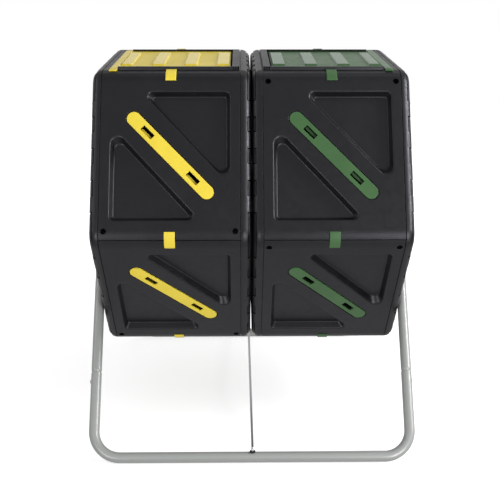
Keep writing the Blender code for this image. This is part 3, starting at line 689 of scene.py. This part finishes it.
def hatch(side):
    """A thin ribbed plate that slides under the rails."""
    x0, x1 = DOOR_INNER + GAP, DOOR_OUTER - HEAD_WIDTH + HEAD_LAP
    middle = Vector((side * (x0 + x1) / 2, DOOR_MIDDLE))
    edge = quarter(HATCH_ROUND, HATCH_ROUND, 2)

    def plate_outline(inset):
        return rectangle(middle, (x1 - x0) / 2 - inset, DOOR_HALF - inset)

    plate = stacked("hatch", plate_outline, [(DOOR_LIFT, 0)] + [(DOOR_TOP - fall, run) for run, fall in edge])
    additions = [hatch_head(side)]
    for index in range(DOOR_RIBS):
        inner = DOOR_INNER + RIB_MARGIN + DOOR_RIB_PITCH * index
        outer = min(inner + DOOR_RIB_WIDTH, DOOR_OUTER - HEAD_WIDTH - RIB_MARGIN)
        centre = Vector((side * (inner + outer) / 2, sum(DOOR_RIB_SPAN) / 2))
        half = ((outer - inner) / 2, (DOOR_RIB_SPAN[1] - DOOR_RIB_SPAN[0]) / 2)

        def rib_outline(inset):
            corners = rectangle(centre, half[0] - inset / 2, half[1] - inset)
            return rounded(corners, [0.003 - inset / 3] * 4, 5)

        levels = [(DOOR_TOP - 0.0005, -0.0004), (DOOR_TOP + 0.0002, 0.0002), (DOOR_TOP + 0.0008, 0.0012),
                  (DOOR_RIB_TOP - 0.0008, 0.0028), (DOOR_RIB_TOP - 0.0002, 0.0035), (DOOR_RIB_TOP, 0.0045)]
        additions.append(stacked("hatch_rib", rib_outline, levels))
    mesh = carve(plate, additions, "UNION")
    polish = mesh.attributes.new("polish", "FLOAT", "POINT")
    for vertex, share in zip(mesh.vertices, polish.data):
        rise = (vertex.co.z - APOTHEM - DOOR_TOP) / (DOOR_RIB_TOP - DOOR_TOP)
        share.value = min(max(rise, 0), 1)
    return mesh


# ---- end caps ----
def hexagon(depth):
    """The drum's outline as (y, z) points, moved in by depth."""
    points = []
    for side in range(6):
        middle = math.radians(60 * side + 30)
        for k in range(2 * ARC_STEPS + 1):
            angle = middle + math.pi / 6 * (k / ARC_STEPS - 1)
            points.append((FILLET_CENTRE * math.sin(middle) + (CORNER_RADIUS - depth) * math.sin(angle),
                           FILLET_CENTRE * math.cos(middle) + (CORNER_RADIUS - depth) * math.cos(angle)))
    return points


def hub_ring(radius):
    """A circle with as many evenly spaced (y, z) points as the outline has."""
    count = 6 * (2 * ARC_STEPS + 1)
    first = math.pi / 6 - 2 * math.pi * ARC_STEPS / count
    angles = [first + 2 * math.pi * k / count for k in range(count)]
    return [(radius * math.sin(angle), radius * math.cos(angle)) for angle in angles]


def crowned(start, stop, sink, steps=6):
    """(x, depth) points along the falling rim, closer together at its start, sunk below its surface."""
    length, fall = RIM_CROWN
    points = []
    for k in range(steps + 1):
        x = start + (stop - start) * (k / steps) ** 1.5
        rest = 1 - max(1 - x / length, 0) ** CROWN_POWER
        points.append((x, fall * (1 - rest ** (1 / CROWN_POWER)) + sink))
    return points


def along_rims(name, outline, spans):
    """Blocks with an (x, depth) outline, one for each span across a drum side, on all six sides."""
    blocks = []
    for side in range(6):
        for span in spans:
            block = loft(name, [[(x, y, APOTHEM - depth) for x, depth in outline] for y in span])
            blocks.append(moved(block, side_turn(side)))
    return joined(name, blocks)


def tooth_middles():
    return [TOOTH_PITCH * index for index in (-1.5, -0.5, 0.5, 1.5)]


def rim_teeth():
    """Blocks that bridge the sunk strap, four on each side of the drum."""
    start, reach, rise = TOOTH_BLOCK
    stop = STRAP_WIDTH + GROOVE[0] + reach
    outline = [(start, RIM_CROWN[1] + 0.002)] + crowned(start, stop, -rise) + [(stop, 0.0075)]
    half = TOOTH_LENGTH / 2
    return along_rims("tooth", outline, [(middle - half, middle + half) for middle in tooth_middles()])


def tooth_ticks():
    """Narrow cuts at both ends of every tooth."""
    width, depth = TICK
    floor = crowned(0, STRAP_WIDTH + GROOVE[0], depth + STRAP_SINK + GROOVE[1])
    outline = [(-0.001, -0.002), (-0.001, floor[0][1])] + floor + [(floor[-1][0], -0.002)]
    reach = (TOOTH_LENGTH + width) / 2
    spots = [middle + end * reach for middle in tooth_middles() for end in (-1, 1)]
    return along_rims("tick", outline, [(spot - width / 2, spot + width / 2) for spot in spots])


def end_cap(rim_width, side_screw_y, hatch_screw_y):
    """A drum end: castellated rim, spigot under the panels, web and bored hub.  Local x points inward."""
    shoulder = rim_width - SEAM_GAP
    spigot_end = rim_width + CAP_SPIGOT
    spigot = PANEL_WALL + GAP
    web_outer, web_inner = CAP_WEB
    groove_end = STRAP_WIDTH + GROOVE[0]
    rim = crowned(0, STRAP_WIDTH, STRAP_SINK) + crowned(STRAP_WIDTH, groove_end, STRAP_SINK + GROOVE[1], 1)
    rim += crowned(groove_end, RIM_CROWN[0], 0)
    rim += [(shoulder - run, fall) for run, fall in quarter(SEAM_ROUND, SEAM_ROUND)[::-1]]
    rim += [(shoulder, spigot), (spigot_end, spigot), (spigot_end, spigot + CAP_WALL),
            (web_inner, spigot + CAP_WALL)]
    along, first, second = HUB_BEVEL
    hub = [(web_inner, HUB_RADIUS), (HUB_END - along, HUB_RADIUS - first), (HUB_END, HUB_RADIUS - second),
           (HUB_END, HUB_BORE), (0.0, HUB_BORE), (0.0, HUB_RADIUS - second), (along, HUB_RADIUS - first),
           (web_outer, HUB_RADIUS)]
    dish = RIM_CROWN[1] + CAP_WALL
    face = [(web_outer, dish - 0.001), (0.0, dish)]
    loops = [[(x, y, z) for y, z in hexagon(depth)] for x, depth in rim]
    loops += [[(x, y, z) for y, z in hub_ring(radius)] for x, radius in hub]
    loops += [[(x, y, z) for y, z in hexagon(depth)] for x, depth in face]
    screw_x = rim_width + PANEL_LENGTH / 2 - SCREW_PLACE[0]
    bosses, bores = [], []
    for number in range(6):
        spot = [Vector((screw_x, side_screw_y if number else hatch_screw_y))]
        bosses += [moved(tool, side_turn(number)) for tool in screw_bosses(spot)]
        bores += [moved(tool, side_turn(number)) for tool in screw_bores(spot)]
    mesh = carve(loft("end_cap", loops, closed=True), [rim_teeth(), joined("bosses", bosses)], "UNION")
    mesh = carve(mesh, [tooth_ticks(), joined("bores", bores)], "DIFFERENCE")
    ribs = []
    setback, half = CAP_RIB
    for index in range(12):
        reach = APOTHEM - CAP_RIB_STOPS[0] if index % 2 == 0 else HEX_RADIUS - CAP_RIB_STOPS[1]
        rib = box("rib", (setback, -half, HUB_RADIUS - 0.004), (web_outer + LAP, half, reach))
        ribs.append(moved(rib, Matrix.Rotation(math.radians(30 * index), 4, "X")))
    return carve(mesh, ribs, "UNION")


# ---- stand ----
def leg_line(side, end):
    """Floor corner and axle end of a leg's centre line."""
    return (Vector((side * CORNER_X, end * RAIL_Y, RAIL_Z)), Vector((side * LEG_TOP_X, 0, AXLE_HEIGHT)))


def sweep_rings(path, run, across, radius, sides):
    """Rings along a path that bends in one plane.  Run is the direction of its straight middle."""
    over = run.cross(across)
    angles = [2 * math.pi * (k + 0.5) / sides for k in range(sides)]
    radii = radius if isinstance(radius, list) else [radius] * len(path)
    rings = []
    for i, point in enumerate(path):
        ahead = path[min(i + 1, len(path) - 1)] - path[max(i - 1, 0)]
        turn = run.rotation_difference(ahead)
        rings.append([point + turn @ (radii[i] * (across * math.cos(angle) + over * math.sin(angle)))
                      for angle in angles])
    return rings


def base_path(end):
    """The floor tube: up-turned arm, bend, straight run, bend, up-turned arm."""
    path = []
    for side in (-1, 1):
        corner, top = leg_line(side, end)
        arm = (top - corner).normalized()
        run = Vector((-side, 0, 0))
        turn = math.pi - arm.angle(run)
        tangent = BEND_RADIUS * math.tan(turn / 2)
        centre = corner + (arm + run).normalized() * BEND_RADIUS / math.cos(turn / 2)
        spoke = corner + arm * tangent - centre
        axis = spoke.cross(-arm).normalized()
        steps = 18
        bend = [centre + Matrix.Rotation(turn * k / steps, 3, axis) @ spoke for k in range(steps + 1)]
        half = [corner + arm * (JOINT_DISTANCE - back) for back in (0, *TUBE_MOUTH[1:])] + bend
        path += half if side < 0 else half[::-1]
    return path


def base_tube(end):
    """Floor tube with softened mouths; the rail lies along x on the floor."""
    path = base_path(end)
    run, across = Vector((1, 0, 0)), Vector((0, 1, 0))
    outer_radii = [TUBE_RADIUS] * len(path)
    for index in (0, -1):
        outer_radii[index] = TUBE_RADIUS - TUBE_MOUTH[0]
    outer = sweep_rings(path, run, across, outer_radii, TUBE_SIDES)
    inner = sweep_rings(path, run, across, TUBE_RADIUS - TUBE_WALL, TUBE_SIDES)
    return loft("base_tube", outer + inner[::-1], closed=True)


def leg(side, end):
    """Upper leg: necked foot in the floor tube, then a tube that flattens to a round-ended paddle, which the
    axle bolt passes through; no hole is cut in it.
    """
    corner, top = leg_line(side, end)
    along = (top - corner).normalized()
    length = (top - corner).length
    flat = Vector((0, along.z, -along.y)).normalized()
    outward = side * flat.cross(along)
    paddle_x = LEG_TOP_X + (PADDLE_THICKNESS + GAP) * (0.5 + (0 if end < 0 else 1))
    neck = TUBE_RADIUS - TUBE_WALL - GAP
    half = PADDLE_THICKNESS / 2
    wide = PADDLE_WIDTH / 2
    stations = [(JOINT_DISTANCE - SWAGE_LENGTH, neck, neck, 0), (JOINT_DISTANCE + GAP, neck, neck, 0),
                (JOINT_DISTANCE + 0.0012, neck + 0.0004, neck + 0.0004, 0),
                (JOINT_DISTANCE + 0.0042, TUBE_RADIUS - 0.0002, TUBE_RADIUS - 0.0002, 0),
                (JOINT_DISTANCE + 0.0052, TUBE_RADIUS, TUBE_RADIUS, 0)]
    flattening = 14
    for k in range(flattening + 1):
        share = k / flattening
        blend = share * share * (3 - 2 * share)
        stations.append((length - PADDLE_TAPER[0] + PADDLE_TAPER[1] * share,
                         TUBE_RADIUS + (wide - TUBE_RADIUS) * blend,
                         TUBE_RADIUS + (half - TUBE_RADIUS) * blend, blend))
    rounding = 8
    for k in range(rounding + 1):
        angle = math.pi / 2 * k / (rounding + 0.2)      # the last ring is small, not a point
        stations.append((length + wide * math.sin(angle), wide * math.cos(angle), half, 1))
    loops = []
    for distance, half_width, half_thickness, blend in stations:
        centre = corner + along * distance
        centre.x += (side * paddle_x - centre.x) * blend
        through = outward.lerp(Vector((side, 0, 0)), blend).normalized()
        power = 2 / (2 + 5 * blend)
        loop = []
        for k in range(TUBE_SIDES):
            angle = 2 * math.pi * (k + 0.5) / TUBE_SIDES
            a, b = math.cos(angle), math.sin(angle)
            loop.append(centre + flat * half_width * math.copysign(abs(a) ** power, a)
                        + through * half_thickness * math.copysign(abs(b) ** power, b))
        loops.append(loop)
    return loft("leg", loops)


def joint_screw(side, end):
    """A pan-head screw through the leg joint."""
    corner, top = leg_line(side, end)
    centre = corner + (top - corner).normalized() * (JOINT_DISTANCE - SWAGE_LENGTH / 2)
    profile = [(side * x, radius) for x, radius in
               ((0.004, 0.0002), (0.004, 0.0019), (0.0094, 0.0019), (0.0094, 0.0040), (0.0101, 0.0040),
                (0.0110, 0.0036), (0.0117, 0.0026), (0.0121, 0.0012), (0.0114, 0.0011), (0.0110, 0.0002))]
    return turned("joint_screw", profile, 20, centre)


def tie_rod():
    path = []
    for end in (-1, 1):
        centre = Vector((0, end * (RAIL_Y - ROD_BEND), ROD_HEIGHT - ROD_BEND))
        angles = [math.pi / 16 * k for k in range(9)]
        arc = [centre + ROD_BEND * Vector((0, end * math.cos(angle), math.sin(angle))) for angle in angles]
        half = [Vector((0, end * RAIL_Y, ROD_FOOT))] + arc
        path += half if end < 0 else half[::-1]
    return loft("tie_rod", sweep_rings(path, Vector((0, 1, 0)), Vector((1, 0, 0)), ROD_RADIUS, 20))


def rod_grommet(end):
    bore, neck, collar = GROMMET_RADII
    depth, height, edge = GROMMET
    seat = RAIL_Z + TUBE_RADIUS + GAP
    brim = [(seat + height - fall, collar - run) for run, fall in quarter(edge, edge, 5)]
    profile = [(seat - depth, bore), (seat - depth, neck), (seat, neck), (seat, collar)] + brim
    profile += [(seat + height, bore)]
    return turned("rod_grommet", profile, 28, Vector((0, end * RAIL_Y, 0)), axis="Z")


def ring(name, start, stop, bore, radius, edge=0.0004):
    """A turned ring whose outer edges are rounded."""
    way = math.copysign(1, stop - start)
    profile = [(start, bore), (start, radius - edge), (start + way * edge, radius),
               (stop - way * edge, radius), (stop, radius - edge), (stop, bore)]
    return turned(name, profile, 40, Vector((0, 0, AXLE_HEIGHT)))


def axle_bolt(side, seat, inner_end):
    """Flanged hexagon bolt: 36 points in each section, so its head's corners blend to round faces."""
    corner, head = BOLT_HEAD
    sections = [(inner_end, BOLT_RADIUS, 0), (seat, BOLT_RADIUS, 0), (seat, 0.84 * corner, 0),
                (seat + 0.0004, 0.86 * corner, 0), (seat + 0.0005, corner, 1),
                (seat + head - 0.0012, corner, 1), (seat + head - 0.0003, 0.86 * corner, 0),
                (seat + head, 0.80 * corner, 0)]
    loops = []
    for x, radius, hexagonal in sections:
        loop = []
        for k in range(36):
            angle = 2 * math.pi * k / 36
            flat = math.cos(math.pi / 6) / math.cos(angle % (math.pi / 3) - math.pi / 6)
            reach = radius * (flat if hexagonal else 1)
            loop.append((side * x, reach * math.cos(angle), AXLE_HEIGHT + reach * math.sin(angle)))
        loops.append(loop)
    return loft("axle_bolt", loops)


# ---- assembly ----
def build_drum(label, side, shared, accent):
    body = f"{label}_drum"
    middle = Matrix.Translation((side * PANEL_MIDDLE, 0, 0))
    facing = Matrix.Identity(4) if side < 0 else HALF_TURN
    for name, x, flipped in (("inner", INNER_FACE, side < 0), ("outer", OUTER_FACE, side > 0)):
        place = Matrix.Translation((side * x, 0, 0)) @ (HALF_TURN if flipped else Matrix.Identity(4))
        turned_y = -1 if flipped else 1
        cap = end_cap(RIM_WIDTHS[name], turned_y * side * SCREW_PLACE[1], turned_y * HATCH_SCREW_Y)
        add_piece(f"{label}_rim_{name}", cap, BLACK, body,
                  [f"{label}_{name}_end_cap"], DRUM_PLACE @ place)
    screws = []
    for number in range(1, 6):
        place = side_turn(number) @ middle @ facing
        add_piece(f"{label}_wall_{number}", shared["side_panel"], BLACK, body,
                  [f"{label}_side_panel_{number}"], DRUM_PLACE @ place)
        add_piece(f"{label}_strip_{number}", shared["vent_strip"], accent, body,
                  [f"{label}_vent_strip_{number}"], DRUM_PLACE @ place)
        screws += [moved(panel_screw(spot), place) for spot in side_screw_places()]
    screws += [moved(panel_screw(spot), middle) for spot in hatch_screw_places()]
    add_piece(f"{label}_panel_screws", joined("panel_screws", screws), BLACK_STEEL, body, (),
              DRUM_PLACE)
    for number in range(6):
        add_piece(f"{label}_clip_{number + 1}", shared["corner_clip"], accent, body,
                  [f"{label}_corner_clip_{number + 1}"], DRUM_PLACE @ side_turn(number) @ middle)
    add_piece(f"{label}_hatch_frame", hatch_frame(side), BLACK, body,
              [f"{label}_door_panel"], DRUM_PLACE @ middle)
    add_piece(f"{label}_hatch", hatch(side), accent, f"{label}_door",
              [f"{label}_door"], DRUM_PLACE)


def build_stand():
    for end, name in ((-1, "front"), (1, "rear")):
        add_piece(f"{name}_floor_tube", base_tube(end), TUBE_GREY, "stand",
                  [f"{name}_base_tube"])
        add_piece(f"{name}_grommet", rod_grommet(end), RUBBER, "stand", [f"{name}_rod_grommet"])
        for label, side in SIDES.items():
            add_piece(f"{name}_{label}_upright", leg(side, end), TUBE_GREY, "stand",
                      [f"{name}_{label}_leg"])
    screws = [joint_screw(side, end) for side in (-1, 1) for end in (-1, 1)]
    add_piece("joint_screws", joined("joint_screws", screws), ZINC, "stand")
    add_piece("cross_rod", tie_rod(), ZINC, "stand", ["tie_rod"])


def build_axle():
    end_x = LEG_TOP_X - AXLE_SETBACK
    washer_x = LEG_TOP_X + 2 * (PADDLE_THICKNESS + GAP) + GAP
    bolt_x = washer_x + WASHER[1] + GAP
    sleeve = AXLE_RADIUS + GAP
    add_piece("axle", ring("axle", -end_x, end_x, AXLE_RADIUS - AXLE_WALL, AXLE_RADIUS), TUBE_GREY,
              "stand", ["axle_tube"])
    spacer = ring("middle_spacer", GAP - INNER_FACE, INNER_FACE - GAP, sleeve, SPACER_RADIUS)
    add_piece("middle_spacer", spacer, BLACK, "stand", ["centre_spacer"])
    for label, side in SIDES.items():
        spacer = ring("spacer", side * (OUTER_FACE + GAP), side * (LEG_TOP_X - GAP), sleeve,
                      SPACER_RADIUS, 0.001)
        add_piece(f"{label}_axle_spacer", spacer, BLACK, "stand", [f"{label}_spacer"])
        plug = ring("plug", side * (end_x - PLUG_LENGTH), side * end_x, BOLT_RADIUS + GAP,
                    AXLE_RADIUS - AXLE_WALL - GAP)
        add_piece(f"{label}_insert", plug, ZINC, "stand", [f"{label}_axle_plug"])
        washer = ring("washer", side * washer_x, side * (washer_x + WASHER[1]), BOLT_RADIUS + GAP, WASHER[0])
        add_piece(f"{label}_flat_washer", washer, ZINC, "stand", [f"{label}_axle_washer"])
        bolt = axle_bolt(side, bolt_x, end_x - PLUG_LENGTH + AXLE_SETBACK)
        add_piece(f"{label}_hex_bolt", bolt, ZINC, "stand", [f"{label}_axle_bolt"])


# ---- studio ----
def build_floor():
    size = 9.0
    shape = bmesh.new()
    bmesh.ops.create_grid(shape, x_segments=1, y_segments=1, size=size)
    floor = new_object("studio_floor", finish_mesh("studio_floor", shape))
    floor.location = (0, 0, -0.0004)
    made, tree, shader, place = new_material("studio_paper")
    fibre = noise(tree, 500, 3, place)
    tree.links.new(mixed(tree, fibre, (0.80, 0.80, 0.80), (0.82, 0.82, 0.82)), shader.inputs["Base Color"])
    shader.inputs["Roughness"].default_value = 0.9
    shader.inputs["Specular IOR Level"].default_value = 0.1
    shader.inputs["Emission Color"].default_value = (1, 1, 1, 1)
    away = tree.nodes.new("ShaderNodeVectorMath")
    away.operation = "LENGTH"
    tree.links.new(place, away.inputs[0])
    glow = spread(tree, away.outputs["Value"], 0.60, 1.0, 0.5, 1.6)
    tree.links.new(glow, shader.inputs["Emission Strength"])
    floor.data.materials.append(made)
    floor.visible_diffuse = floor.visible_glossy = floor.visible_shadow = False


def ramp(tree, value, stops):
    node = tree.nodes.new("ShaderNodeValToRGB")
    while len(node.color_ramp.elements) < len(stops):
        node.color_ramp.elements.new(1.0)
    for element, (place, level) in zip(node.color_ramp.elements, stops):
        element.position = place
        element.color = (level, level, level, 1)
    tree.links.new(value, node.inputs["Fac"])
    return node.outputs["Color"]


def build_world():
    """A studio that is dark round the front horizon, with a bright wall behind.  The camera sees it as
    plain white."""
    world = bpy.data.worlds.new("studio")
    world.use_nodes = True
    bpy.context.scene.world = world
    tree = world.node_tree
    tree.nodes.clear()
    new, link = tree.nodes.new, tree.links.new
    split = new("ShaderNodeSeparateXYZ")
    link(new("ShaderNodeTexCoord").outputs["Generated"], split.inputs["Vector"])
    height = spread(tree, split.outputs["Z"], 0, 1, -1, 1)
    front = ramp(tree, height, ((0.0, 0.62), (0.14, 0.60), (0.27, 0.20), (0.47, 0.16), (0.56, 0.18),
                                (0.70, 0.42), (0.85, 0.52), (1.0, 0.25)))
    back = ramp(tree, height, ((0.0, 0.50), (0.44, 0.60), (0.57, 0.55), (0.72, 0.46), (0.88, 0.36),
                               (1.0, 0.25)))
    around = new("ShaderNodeMix")
    around.data_type = "RGBA"
    link(spread(tree, split.outputs["Y"], 0, 1, -0.15, 0.30), around.inputs["Factor"])
    link(front, around.inputs["A"])
    link(back, around.inputs["B"])
    lit, shown, both = new("ShaderNodeBackground"), new("ShaderNodeBackground"), new("ShaderNodeMixShader")
    link(around.outputs["Result"], lit.inputs["Color"])
    shown.inputs["Color"].default_value = (1, 1, 1, 1)
    link(new("ShaderNodeLightPath").outputs["Is Camera Ray"], both.inputs["Fac"])
    link(lit.outputs["Background"], both.inputs[1])
    link(shown.outputs["Background"], both.inputs[2])
    link(both.outputs["Shader"], new("ShaderNodeOutputWorld").inputs["Surface"])


def add_softbox(name, location, target, size, power):
    data = bpy.data.lights.new(name, "AREA")
    data.shape = "RECTANGLE"
    data.size, data.size_y = size
    data.energy = power
    lamp = new_object(name, data)
    lamp.location = location
    lamp.rotation_euler = (Vector(target) - Vector(location)).to_track_quat("-Z", "Y").to_euler()
    lamp.visible_camera = False


def build_camera():
    data = bpy.data.cameras.new("camera")
    data.lens = 59.96
    data.sensor_width = 36
    camera = new_object("camera", data)
    camera.location = (-0.0223, -1.770, 0.764)
    camera.rotation_euler = (math.radians(90 - 13.95), 0, math.radians(-0.71))
    bpy.context.scene.camera = camera


build_stand()
build_axle()
SHARED = {"side_panel": side_panel(), "vent_strip": vent_strip(), "corner_clip": corner_clip()}
build_drum("left", -1, SHARED, YELLOW)
build_drum("right", 1, SHARED, GREEN)

build_floor()
build_world()
add_softbox("left_softbox", (-1.15, -2.05, 0.30), (0, 0, 0.42), (0.9, 0.9), 14)
add_softbox("right_softbox", (1.15, -2.05, 0.30), (0, 0, 0.42), (0.9, 0.9), 25)
add_softbox("left_strip_light", (-2.0, -0.6, 1.45), (-0.2, -0.1, 0.5), (0.45, 1.3), 5)
add_softbox("right_strip_light", (2.0, -0.6, 1.45), (0.2, -0.1, 0.5), (0.45, 1.3), 38)
add_softbox("back_softbox", (0.0, 2.3, 1.35), (0, 0, 0.72), (2.8, 0.5), 2.2)
add_softbox("top_softbox", (0.2, 0.5, 2.4), (0, 0, 0.5), (1.8, 1.2), 4)
build_camera()
bpy.context.scene.view_settings.view_transform = "Standard"
